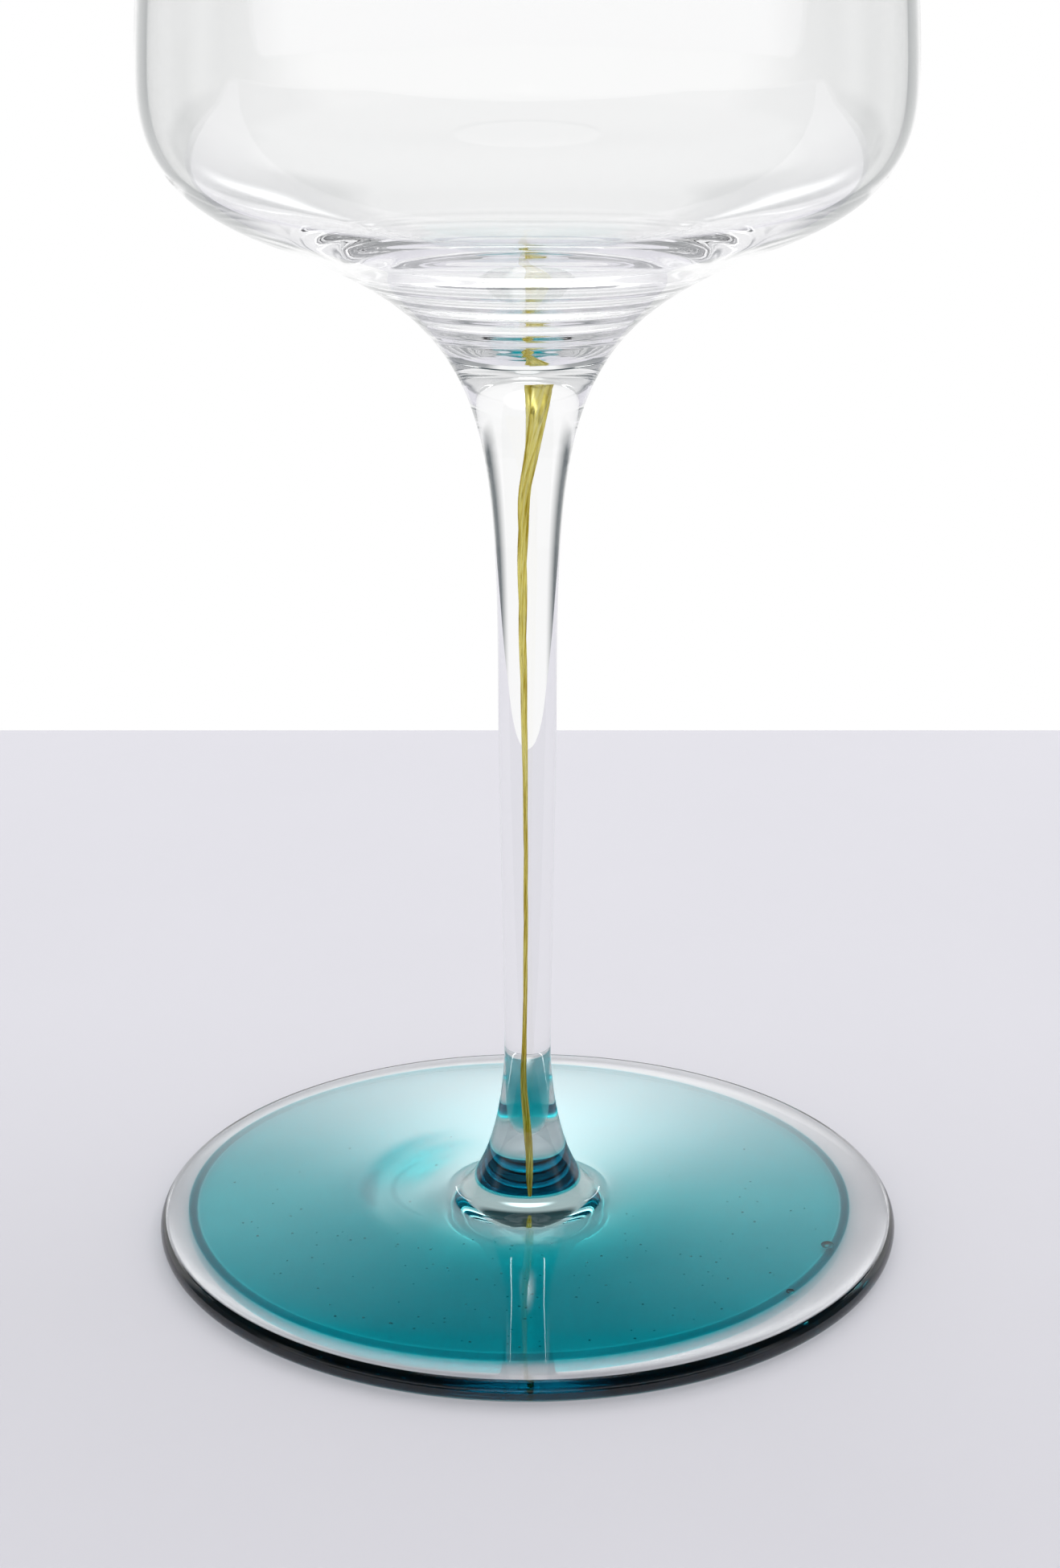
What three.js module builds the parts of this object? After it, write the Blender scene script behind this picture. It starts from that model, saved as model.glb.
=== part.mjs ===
// A stemmed champagne glass: a blown bowl, a drawn stem with a coloured glass thread inside it,
// and a clear foot in two layers with a disc of coloured glass between them.
// Millimetres, +Z up, origin at the middle of the surface that the glass stands on.
import * as THREE from 'three';

// Overall
const GLASS_HEIGHT = 232;

// Foot
const FOOT_DIAMETER = 80;
const FOOT_EDGE_THICKNESS = 2.4;
const FOOT_EDGE_DEPTH = 1.1;
const FOOT_BASE_THICKNESS = 1.2;
const FOOT_CROWN_HEIGHT = 3.3;
const FOOT_HOLLOW_DEPTH = 0.4;
const REST_RING_WIDTH = 4;
const COVE_DIAMETER = 26;
const COVE_PULL_STEM = 14.4;
const COVE_PULL_FOOT = 8.9;
const FOOT_SEAM_HEIGHT = 6.2;

// Coloured disc in the foot
const DISC_THICKNESS = 0.5;
const CLEAR_EDGE_WIDTH = 4.2;

// Stem
const STEM_WAIST_DIAMETER = 5;
const STEM_WAIST_HEIGHT = 24.3;
const STEM_NECK_DIAMETER = 6.1;
const STEM_NECK_HEIGHT = 61.3;
const STEM_PULL = 12;
const STEM_SEAM_HEIGHT = 94;

// Bowl
const FLARE_PULL_STEM = 29.2;
const FLARE_PULL_TURN = 20.9;
const TURN_DIAMETER = 47.9;
const TURN_HEIGHT = 106.8;
const TURN_ANGLE = 23;
const SHOULDER_PULL_TURN = 6.6;
const SHOULDER_PULL_BELLY = 10.8;
const BELLY_DIAMETER = 75.6;
const BELLY_HEIGHT = 122.8;
const WALL_PULL_BELLY = 12;
const WALL_PULL_RIM = 60;
const RIM_DIAMETER = 54;
const RIM_LEAN = 5.5;
const RIM_WALL = 1;
const BELLY_WALL = 1.2;
const TURN_WALL = 1.6;
const BOWL_BASE_THICKNESS = 2.4;
const FUNNEL_PULL_FLOOR = 6.5;
const FUNNEL_PULL_TURN = 10;

// Coloured thread in the stem
const THREAD_DIAMETER = 0.8;
const THREAD_HEAD_DIAMETER = 2.1;
const THREAD_HEAD_LENGTH = 14;
const THREAD_END_HEIGHT = 2.3;

// Gap round the pieces that lie inside the clear glass
const INSET_CLEARANCE = 0.3;

// Facets
const BOWL_SIDES = 48;
const FOOT_SIDES = 48;
const STEM_SIDES = 24;
const THREAD_SIDES = 12;
const LONG_CURVE_STEPS = 10;
const SHORT_CURVE_STEPS = 6;
const EDGE_STEPS = 4;

const footRadius = FOOT_DIAMETER / 2;
const footFlatRadius = footRadius - FOOT_EDGE_DEPTH;
const discRadius = footRadius - CLEAR_EDGE_WIDTH;
const discTop = FOOT_BASE_THICKNESS + DISC_THICKNESS;
const threadTop = STEM_SEAM_HEIGHT - INSET_CLEARANCE;
const cavityFloor = STEM_SEAM_HEIGHT + BOWL_BASE_THICKNESS;

const clearGlass = { color: 0xf2f4f4, roughness: 0.02, metalness: 0 };
const tealGlass = { color: 0x0f8791, roughness: 0.05, metalness: 0 };
const ochreGlass = { color: 0xb3a21c, roughness: 0.12, metalness: 0 };

// A point of an outline: distance from the axis, height.
function at(radius, height) {
  return new THREE.Vector2(radius, height);
}

// A direction in the plane of an outline, from its angle above level.
function heading(degrees) {
  const angle = THREE.MathUtils.degToRad(degrees);
  return at(Math.cos(angle), Math.sin(angle));
}

// A smooth curve that leaves one point and reaches another along given headings.
function sweep(start, leave, leavePull, end, arrive, arrivePull) {
  const first = start.clone().addScaledVector(leave, leavePull);
  const second = end.clone().addScaledVector(arrive, -arrivePull);
  return new THREE.CubicBezierCurve(start, first, second, end);
}

// Points of a curve between two of its parameters, both ends included.
function trace(curve, from, to, steps) {
  const points = [];
  for (let step = 0; step <= steps; step += 1) {
    points.push(curve.getPoint(THREE.MathUtils.lerp(from, to, step / steps)));
  }
  return points;
}

// The parameter at which a rising curve reaches a height, by halving.
function reach(curve, height) {
  let low = 0;
  let high = 1;
  for (let round = 0; round < 50; round += 1) {
    const middle = (low + high) / 2;
    if (curve.getPoint(middle).y < height) {
      low = middle;
    } else {
      high = middle;
    }
  }
  return (low + high) / 2;
}

// A quarter or half of an ellipse, from one angle to another.
function roundEdge(centre, depth, height, from, to, steps) {
  const start = THREE.MathUtils.degToRad(from);
  const end = THREE.MathUtils.degToRad(to);
  const edge = new THREE.EllipseCurve(centre.x, centre.y, depth, height, start, end);
  return trace(edge, 0, 1, steps);
}

// One named solid turned about the vertical axis.
function turned(name, outline, sides, look) {
  const geometry = new THREE.LatheGeometry(outline, sides);
  geometry.rotateX(Math.PI / 2);
  const mesh = new THREE.Mesh(geometry, new THREE.MeshStandardMaterial(look));
  mesh.name = name;
  return mesh;
}

const up = heading(90);
const level = heading(0);

// The outside, from the foot to the rim.
const crownStart = at(footFlatRadius, FOOT_EDGE_THICKNESS);
const crownEnd = at(COVE_DIAMETER / 2, FOOT_CROWN_HEIGHT);
const crownHeading = crownEnd.clone().sub(crownStart).normalize();
const cove = sweep(
  crownEnd, crownHeading, COVE_PULL_FOOT,
  at(STEM_WAIST_DIAMETER / 2, STEM_WAIST_HEIGHT), up, COVE_PULL_STEM,
);
const shaft = sweep(
  at(STEM_WAIST_DIAMETER / 2, STEM_WAIST_HEIGHT), up, STEM_PULL,
  at(STEM_NECK_DIAMETER / 2, STEM_NECK_HEIGHT), up, STEM_PULL,
);
const turn = at(TURN_DIAMETER / 2, TURN_HEIGHT);
const turnHeading = heading(TURN_ANGLE);
const flare = sweep(
  at(STEM_NECK_DIAMETER / 2, STEM_NECK_HEIGHT), up, FLARE_PULL_STEM,
  turn, turnHeading, FLARE_PULL_TURN,
);
const shoulder = sweep(
  turn, turnHeading, SHOULDER_PULL_TURN,
  at(BELLY_DIAMETER / 2, BELLY_HEIGHT), up, SHOULDER_PULL_BELLY,
);
const lipCentre = at((RIM_DIAMETER - RIM_WALL) / 2, GLASS_HEIGHT - RIM_WALL / 2);
const rimHeading = heading(90 + RIM_LEAN);
const wall = sweep(
  at(BELLY_DIAMETER / 2, BELLY_HEIGHT), up, WALL_PULL_BELLY,
  at(RIM_DIAMETER / 2, lipCentre.y), rimHeading, WALL_PULL_RIM,
);
const coveSplit = reach(cove, FOOT_SEAM_HEIGHT);
const flareSplit = reach(flare, STEM_SEAM_HEIGHT);

// The inside of the bowl, from its floor to the rim.
const innerTurn = turn.clone().addScaledVector(heading(TURN_ANGLE + 90), TURN_WALL);
const innerBelly = at(BELLY_DIAMETER / 2 - BELLY_WALL, BELLY_HEIGHT);
const funnel = sweep(
  at(0, cavityFloor), level, FUNNEL_PULL_FLOOR,
  innerTurn, turnHeading, FUNNEL_PULL_TURN,
);
const innerShoulder = sweep(
  innerTurn, turnHeading, SHOULDER_PULL_TURN,
  innerBelly, up, SHOULDER_PULL_BELLY,
);
const innerWall = sweep(
  innerBelly, up, WALL_PULL_BELLY,
  at(RIM_DIAMETER / 2 - RIM_WALL, lipCentre.y), rimHeading, WALL_PULL_RIM,
);

function makeBowl() {
  const outline = [
    at(0, STEM_SEAM_HEIGHT),
    ...trace(flare, flareSplit, 1, SHORT_CURVE_STEPS),
    ...trace(shoulder, 0, 1, SHORT_CURVE_STEPS).slice(1),
    ...trace(wall, 0, 1, LONG_CURVE_STEPS).slice(1),
    ...roundEdge(lipCentre, RIM_WALL / 2, RIM_WALL / 2, 0, 180, EDGE_STEPS).slice(1, -1),
    ...trace(innerWall, 1, 0, LONG_CURVE_STEPS),
    ...trace(innerShoulder, 1, 0, SHORT_CURVE_STEPS).slice(1),
    ...trace(funnel, 1, 0, LONG_CURVE_STEPS).slice(1),
  ];
  return turned('bowl', outline, BOWL_SIDES, clearGlass);
}

// The thread widens to a small trumpet at its top. The grown one is the hole that it lies in.
function threadSide(growth) {
  const head = sweep(
    at(THREAD_DIAMETER / 2 + growth, threadTop - THREAD_HEAD_LENGTH), up, THREAD_HEAD_LENGTH / 2,
    at(THREAD_HEAD_DIAMETER / 2 + growth, threadTop), up, 0,
  );
  return trace(head, 0, 1, SHORT_CURVE_STEPS);
}

function makeThread() {
  const outline = [
    at(0, THREAD_END_HEIGHT),
    at(THREAD_DIAMETER / 2, THREAD_END_HEIGHT),
    ...threadSide(0),
    at(0, threadTop),
  ];
  return turned('ochre_thread', outline, THREAD_SIDES, ochreGlass);
}

function makeStem() {
  const outline = [
    at(THREAD_DIAMETER / 2 + INSET_CLEARANCE, FOOT_SEAM_HEIGHT),
    ...trace(cove, coveSplit, 1, LONG_CURVE_STEPS),
    ...trace(shaft, 0, 1, EDGE_STEPS).slice(1),
    ...trace(flare, 0, flareSplit, LONG_CURVE_STEPS).slice(1),
    at(THREAD_HEAD_DIAMETER / 2 + INSET_CLEARANCE, STEM_SEAM_HEIGHT),
    ...threadSide(INSET_CLEARANCE).reverse(),
    at(THREAD_DIAMETER / 2 + INSET_CLEARANCE, FOOT_SEAM_HEIGHT),
  ];
  return turned('stem', outline, STEM_SIDES, clearGlass);
}

// The upper layer of the foot: a pocket for the disc below, a hole for the thread's end above.
function makeFootTop() {
  const edgeCentre = at(footFlatRadius, FOOT_BASE_THICKNESS);
  const edgeRise = FOOT_EDGE_THICKNESS - FOOT_BASE_THICKNESS;
  const outline = [
    at(0, discTop),
    at(discRadius + INSET_CLEARANCE, discTop),
    at(discRadius + INSET_CLEARANCE, FOOT_BASE_THICKNESS),
    ...roundEdge(edgeCentre, FOOT_EDGE_DEPTH, edgeRise, 0, 90, EDGE_STEPS),
    ...trace(cove, 0, coveSplit, LONG_CURVE_STEPS),
    at(THREAD_DIAMETER / 2 + INSET_CLEARANCE, FOOT_SEAM_HEIGHT),
    at(THREAD_DIAMETER / 2 + INSET_CLEARANCE, THREAD_END_HEIGHT),
    at(0, THREAD_END_HEIGHT),
  ];
  return turned('foot_top', outline, FOOT_SIDES, clearGlass);
}

function makeTealDisc() {
  const outline = [
    at(0, FOOT_BASE_THICKNESS),
    at(discRadius, FOOT_BASE_THICKNESS),
    at(discRadius, discTop),
    at(0, discTop),
  ];
  return turned('teal_disc', outline, FOOT_SIDES, tealGlass);
}

// The lower layer of the foot stands on a flat ring round a shallow hollow.
function makeFootBase() {
  const edgeCentre = at(footFlatRadius, FOOT_BASE_THICKNESS);
  const hollow = sweep(
    at(0, FOOT_HOLLOW_DEPTH), level, footFlatRadius / 2,
    at(footFlatRadius - REST_RING_WIDTH, 0), level, REST_RING_WIDTH,
  );
  const outline = [
    ...trace(hollow, 0, 1, SHORT_CURVE_STEPS),
    ...roundEdge(edgeCentre, FOOT_EDGE_DEPTH, FOOT_BASE_THICKNESS, -90, 0, EDGE_STEPS),
    at(0, FOOT_BASE_THICKNESS),
  ];
  return turned('foot_base', outline, FOOT_SIDES, clearGlass);
}

const champagneGlass = new THREE.Group();
champagneGlass.name = 'champagne_glass';
champagneGlass.add(
  makeBowl(),
  makeStem(),
  makeThread(),
  makeFootTop(),
  makeTealDisc(),
  makeFootBase(),
);

export default champagneGlass;
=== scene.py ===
import functools
import math

import bpy
import numpy as np
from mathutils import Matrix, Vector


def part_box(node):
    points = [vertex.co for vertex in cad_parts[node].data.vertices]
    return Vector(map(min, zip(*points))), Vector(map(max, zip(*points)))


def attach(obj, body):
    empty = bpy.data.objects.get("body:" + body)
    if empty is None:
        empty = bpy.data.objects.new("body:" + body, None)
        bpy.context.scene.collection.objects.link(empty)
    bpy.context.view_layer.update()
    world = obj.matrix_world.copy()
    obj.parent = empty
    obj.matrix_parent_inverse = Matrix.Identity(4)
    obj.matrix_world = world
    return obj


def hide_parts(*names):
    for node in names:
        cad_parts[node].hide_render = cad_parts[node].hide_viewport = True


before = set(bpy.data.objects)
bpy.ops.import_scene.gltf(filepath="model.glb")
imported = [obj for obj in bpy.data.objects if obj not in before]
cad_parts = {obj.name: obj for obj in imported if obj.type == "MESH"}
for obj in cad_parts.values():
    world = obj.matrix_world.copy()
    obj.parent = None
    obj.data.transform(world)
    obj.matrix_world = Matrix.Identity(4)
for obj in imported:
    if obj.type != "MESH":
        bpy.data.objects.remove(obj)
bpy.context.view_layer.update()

bl_info = {
    "name": "Champagne glass",
    "version": (1, 0, 0),
    "blender": (4, 5, 0),
    "location": "3D View > Sidebar > Glass",
    "description": "A clear stemmed glass with a teal disc fused into its foot "
    "and an ochre thread in its stem",
    "category": "Object",
}

MM = 0.001
SIDES = 224
BOWL_LOW, BOWL_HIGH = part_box("bowl")
FOOT_LOW, FOOT_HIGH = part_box("foot_top")
DISC_LOW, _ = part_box("teal_disc")
THREAD_LOW, THREAD_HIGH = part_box("ochre_thread")
WHITE = (1.0, 1.0, 1.0)
DISC_SIDES = 256
# Creases in degrees: clear pieces keep their edges, pieces inside the glass are smooth.
CLEAR_CREASE, SOFT_CREASE = 35.0, 80.0
# How far in metres a face may lie from a fused joint and still count as part of it.
JOINT_TOLERANCE = 1e-7

# The frozen fold: its depth in its round, its turn, its outer step and its inner round's share.
SWIRL_DEPTH = 0.8
SWIRL_TURN = 0.15
SWIRL_STEP = 2.6 * MM
SWIRL_INNER_SHARE = 0.4
# Rolls of colour round it, in mm and degrees: radius, first and last angle, width and height.
TEAL_FOLDS = [
    (11.6, 156.0, 204.0, 2.6, 0.45),
    (8.8, 132.0, 236.0, 1.0, 0.3),
]
# Crescents in the poured colour: reach and width in mm, turn and spread in radians.
THICK_CRESCENT = (18.6, 1.3, 2.85, 0.30)
THIN_CRESCENT = (15.2, 1.1, 3.05, 0.55)
# Share of the disc's thickness that is left under the stem.
CLEAR_FILM = 0.03

# The thread: height and sideways bow in mm, and radius as a share of its head's radius.
THREAD_STATIONS = np.array([
    (2.3, 0.17, 0.10), (4.5, 0.15, 0.17), (8.3, 0.08, 0.21), (12.1, -0.05, 0.22),
    (15.9, -0.26, 0.19), (22.0, -0.2, 0.13), (33.0, -0.13, 0.115), (48.0, -0.14, 0.13),
    (56.0, -0.2, 0.18), (69.0, -0.32, 0.215), (77.0, -0.3, 0.26), (81.5, -0.19, 0.31),
    (85.7, 0.2, 0.39), (90.0, 0.55, 0.56), (94.4, 0.8, 0.84),
])
# Its bow towards the back in mm, and the heights in mm of one radian of bow and of twist.
THREAD_BACK_BOW, THREAD_WANDER, THREAD_TWIST = 0.12, 11.0, 7.0
# How far the middles of its low and its high end lie below their rings.
THREAD_TIPS = np.array([(0.0, 0.0, 0.1 * MM), (0.0, 0.0, 0.5 * MM)])
# Lobes of its section: one for each strand, and one that flattens it.
STRAND_LOBE, FLAT_LOBE = 0.24, 0.10

# Seeds in mm: farthest reach and its smallest share squared, levels and radii.
SEED_REACH, SEED_INNER = 33.0, 0.12
SEED_LEVELS, SEED_RADII = (1.9, 2.3), (0.07, 0.16)
# Bubbles in mm: place and radius.
BUBBLES = np.array([(31.9, -10.3, 1.15, 0.72), (27.1, -20.4, 1.0, 0.45)])

# How the glasses bend light, and how deep the waves of blown glass are.
CRYSTAL_BEND, FUSED_BEND, OCHRE_BEND, AIR_BEND = 1.52, 1.0, 1.15, 0.66
AIR_TINT = (0.97, 0.98, 0.98)
RIPPLE_DEPTH = 0.00002

# Table, in metres: half width, gap under the glass, and where its front begins.
TABLE_SIDE, TABLE_GAP, TABLE_FRONT = 2.5, 0.00005, -0.045
TABLE_CLOUD = 0.985
# Overhead panel, in metres and radians.
PANEL_SIZE, PANEL_PLACE, PANEL_TURN = 1.8, (0.15, 0.6, 1.35), (-0.42, 0.11, 0.0)
# Distance of the sheets of light, and bearing and rise of a strip's ends in degrees.
SHEET_DISTANCE = 1.6
STRIP_ENDS = np.array([(22.5, 12.0), (54.0, 36.0)])
SENSOR_WIDTH = 36.0
BOUNCES, CLEAR_BOUNCES = 96, 32

# Limits between whole numbers of crossed glass faces, and of times that light was turned back.
NO_FACE, THIN_WALL, ONE_WALL, FOOT_FACES, DEEP_FACES = 0.5, 2.5, 3.5, 5.5, 7.5
NO_TURN, ONE_TURN, DEEP_TURNS = 0.5, 1.5, 3.5
# Levels of the studio by bearing, from 0 behind the glass to 1 at the camera.
GAP_PLACES = [(0.16, 0.0), (0.27, 1.0), (0.35, 1.0), (0.41, 0.0)]
WING_PLACES = [(0.30, 0.0), (0.36, 1.0), (0.52, 1.0), (0.6, 0.0)]
SIDE_PLACES = (0.35, 0.41, 0.5, 0.62)
EDGE_END, FRONT_START = 0.4, 0.6
# Rise in radians above which the camera's side is dark in a plain reflection.
FRONT_LOW = 0.2
# How softly parts of the studio end, in bearing and in rise.
GAP_FADE, DROP_FADE = math.radians(8.0), math.radians(5.0)
WING_FADE = 0.17
FLAG_SIDE_FADE, FLAG_LOW_FADE, FLAG_TOP_FADE = 0.03, 0.07, 0.1
EDGE_SIDE_FADE, EDGE_END_FADE, EDGE_TOP_FADE = 0.04, 0.1, 0.08
FRONT_FADE, FRONT_LOW_FADE = 0.1, 0.2


def length(name, millimetres, description):
    """A size property in metres, with its default given in millimetres."""
    return bpy.props.FloatProperty(
        name=name, description=description, default=millimetres * MM, unit="LENGTH", precision=5
    )


def angle(name, degrees, description):
    """An angle property, with its default given in degrees."""
    return bpy.props.FloatProperty(
        name=name, description=description, default=math.radians(degrees),
        subtype="ANGLE", unit="ROTATION",
    )


def share(name, value, description):
    """A plain number property."""
    return bpy.props.FloatProperty(name=name, description=description, default=value, precision=4)


def count(name, value, description):
    """A whole number property."""
    return bpy.props.IntProperty(name=name, description=description, default=value)


def colour(name, rgb, description):
    """A colour property."""
    return bpy.props.FloatVectorProperty(
        name=name, description=description, default=rgb,
        subtype="COLOR", size=3, min=0.0, max=1.0,
    )


class FootSizes(bpy.types.PropertyGroup):
    """Sizes of the two clear layers of the foot."""

    radius: length("Radius", FOOT_HIGH.x / MM, "Outer radius of the foot")
    edge_thickness: length("Edge thickness", 2.4, "Height of the rounded edge")
    edge_depth: length("Edge depth", 1.1, "How far the rounded edge reaches inwards")
    split_height: length("Layer height", FOOT_LOW.z / MM, "Where the two layers meet")
    crown_height: length("Crown height", 3.35, "Height of the top where the cove starts")
    crown_fall: angle("Crown fall", 7.0, "Slope of the top beside its rounded edge")
    crown_pull_edge: length("Crown pull, edge", 2.5, "Curve pull of the crown at its edge")
    crown_pull_cove: length("Crown pull, cove", 18.0, "Curve pull of the crown at the cove")
    crown_level: angle("Crown level", 2.0, "Slope of the top where the cove starts")
    hollow_depth: length("Hollow depth", 0.4, "Depth of the hollow under the foot")
    rest_width: length("Resting ring", 4.0, "Width of the ring that the foot stands on")
    cove_radius: length("Cove radius", 9.4, "Radius where the foot starts to rise")
    cove_pull_stem: length("Cove pull, stem", 4.0, "Curve pull at the stem end of the cove")
    cove_pull_foot: length("Cove pull, foot", 5.5, "Curve pull at the foot end of the cove")
    seam_height: length("Seam height", FOOT_HIGH.z / MM, "Height where foot and stem fuse")
    swirl_across: length("Swirl across", -6.0, "Place of the frozen fold, across")
    swirl_back: length("Swirl back", 2.0, "Place of the frozen fold, towards the back")
    swirl_radius: length("Swirl radius", 8.5, "Radius of the frozen fold")
    swirl_edge: length("Swirl edge", 0.35, "How softly the fold falls at its edge")
    swirl_height: length(
        "Swirl height", -0.12, "How far the fold stands up, or sinks in below zero"
    )


class StemSizes(bpy.types.PropertyGroup):
    """Sizes of the drawn stem."""

    waist_radius: length("Waist radius", 2.5, "Radius at the thinnest place")
    waist_height: length("Waist height", 20.0, "Height of the thinnest place")
    neck_radius: length("Neck radius", 3.05, "Radius where the flare starts")
    neck_height: length("Neck height", 61.3, "Height where the flare starts")
    pull: length("Pull", 12.0, "Curve pull along the stem")
    seam_height: length("Seam height", BOWL_LOW.z / MM, "Height where stem and bowl fuse")
    flare_pull_stem: length("Flare pull, stem", 29.2, "Curve pull at the stem end of the flare")
    flare_pull_turn: length("Flare pull, bowl", 20.9, "Curve pull at the bowl end of the flare")


class BowlSizes(bpy.types.PropertyGroup):
    """Sizes of the blown bowl."""

    height: length("Height", BOWL_HIGH.z / MM, "Height of the rim above the table")
    turn_radius: length("Turn radius", 23.95, "Radius where the flare turns into the bowl")
    turn_height: length("Turn height", 106.8, "Height where the flare turns into the bowl")
    turn_angle: angle("Turn angle", 23.0, "Rise of the wall at the turn")
    shoulder_pull_turn: length("Shoulder pull, turn", 6.6, "Curve pull at the turn")
    shoulder_pull_belly: length("Shoulder pull, belly", 10.8, "Curve pull at the belly")
    belly_radius: length("Belly radius", BOWL_HIGH.x / MM, "Largest radius of the bowl")
    belly_height: length("Belly height", 122.8, "Height of the largest radius")
    wall_pull_belly: length("Wall pull, belly", 12.0, "Curve pull above the belly")
    wall_pull_rim: length("Wall pull, rim", 60.0, "Curve pull under the rim")
    rim_radius: length("Rim radius", 27.0, "Outer radius at the rim")
    rim_lean: angle("Rim lean", 5.5, "How far the wall leans in at the rim")
    rim_wall: length("Rim wall", 1.0, "Wall thickness at the rim")
    belly_wall: length("Belly wall", 1.2, "Wall thickness at the belly")
    turn_wall: length("Turn wall", 1.6, "Wall thickness at the turn")
    base_thickness: length("Base thickness", 2.4, "Glass between the seam and the cavity floor")
    funnel_pull_floor: length("Funnel pull, floor", 10.0, "Curve pull of the cavity at its floor")
    funnel_pull_turn: length("Funnel pull, turn", 16.0, "Curve pull of the cavity at the turn")
    ring_height: length(
        "Ring height", 0.13, "How far the blown rings of the cavity stand in and out"
    )
    ring_spacing: length("Ring spacing", 2.9, "Distance from one blown ring to the next")
    ring_start: length("Ring start", 6.5, "Radius where the blown rings begin")
    ring_end: length("Ring end", 19.0, "Radius where the blown rings end")


class DiscSizes(bpy.types.PropertyGroup):
    """Sizes of the teal disc inside the foot."""

    radius: length("Radius", 35.15, "Radius of the disc inside its dark edge")
    shift: length("Shift across", -1.0, "How far the disc sits to one side")
    shift_back: length("Shift back", 0.94, "How far the disc sits towards the back")
    squash: share("Squash", 0.985, "Depth of the disc as a share of its width")
    low: length("Low face", DISC_LOW.z / MM + 0.06, "Height of the low face")
    clear_centre: length("Clear centre", 5.0, "Radius under the stem that is left nearly clear")
    clear_fade: length("Clear fade", 15.0, "How softly the colour comes in round the clear centre")
    thickness: length("Thickness", 0.43, "Thickness over most of the disc")
    edge_round: length("Edge round", 0.25, "How tightly the edge is rounded")
    bead_gap: length("Bead gap", 0.04, "Gap between the disc and the dark bead round it")
    bead_width: length("Bead width", 1.0, "Width of the dark bead round the disc")
    bead_height: length("Bead height", 1.7, "Height of the dark bead round the disc")
    bead_level: length("Bead level", 1.45, "Height of the bead's middle above the table")
    fold_level: length("Fold level", 2.35, "Height of the folds' middle above the table")
    seed_count: count("Seeds", 150, "Number of tiny seeds in the foot")


class ThreadSizes(bpy.types.PropertyGroup):
    """Sizes of the ochre thread inside the stem."""

    head_radius: length("Head radius", THREAD_HIGH.x / MM, "Radius of the trumpet head")
    low: length("Low end", THREAD_LOW.z / MM, "Height of the low end")
    high: length("High end", THREAD_HIGH.z / MM + 0.7, "Height of the trumpet's mouth")
    strands: count("Strands", 5, "Number of strands in the twist")


class Finishes(bpy.types.PropertyGroup):
    """Colours of the glass and the table."""

    clear: colour("Clear glass", (0.996, 0.997, 0.996), "Tint of the clear glass")
    teal: colour("Teal glass", (0.0, 0.905, 0.921), "Colour that the teal disc lets through")
    teal_density: share("Teal density", 4200.0, "How strongly the teal disc absorbs")
    teal_cloud: colour("Teal clouds", (0.93, 0.975, 0.98), "Tint of the teal disc's clouds")
    edge_density: share("Edge density", 6400.0, "How strongly the dark bead and the folds absorb")
    ochre: colour("Ochre glass", (1.0, 0.9, 0.26), "Main colour of the thread")
    # Pale ochre is a painted highlight on the thread's strands.
    ochre_painted_highlight: colour("Pale ochre glass", (1.0, 0.95, 0.48), "Light streaks of the thread")
    ochre_dark: colour("Dark ochre", (0.5, 0.37, 0.02), "Colour of the thread's dark streaks")
    table: colour("Table", (0.75, 0.742, 0.795), "Colour of the table")
    # Painted dark reflection: the table's front takes this near-black teal where glass reflects it
    # plainly.
    table_painted_reflection: colour("Dark table", (0.03, 0.06, 0.065), "Its front in a plain reflection")


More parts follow.
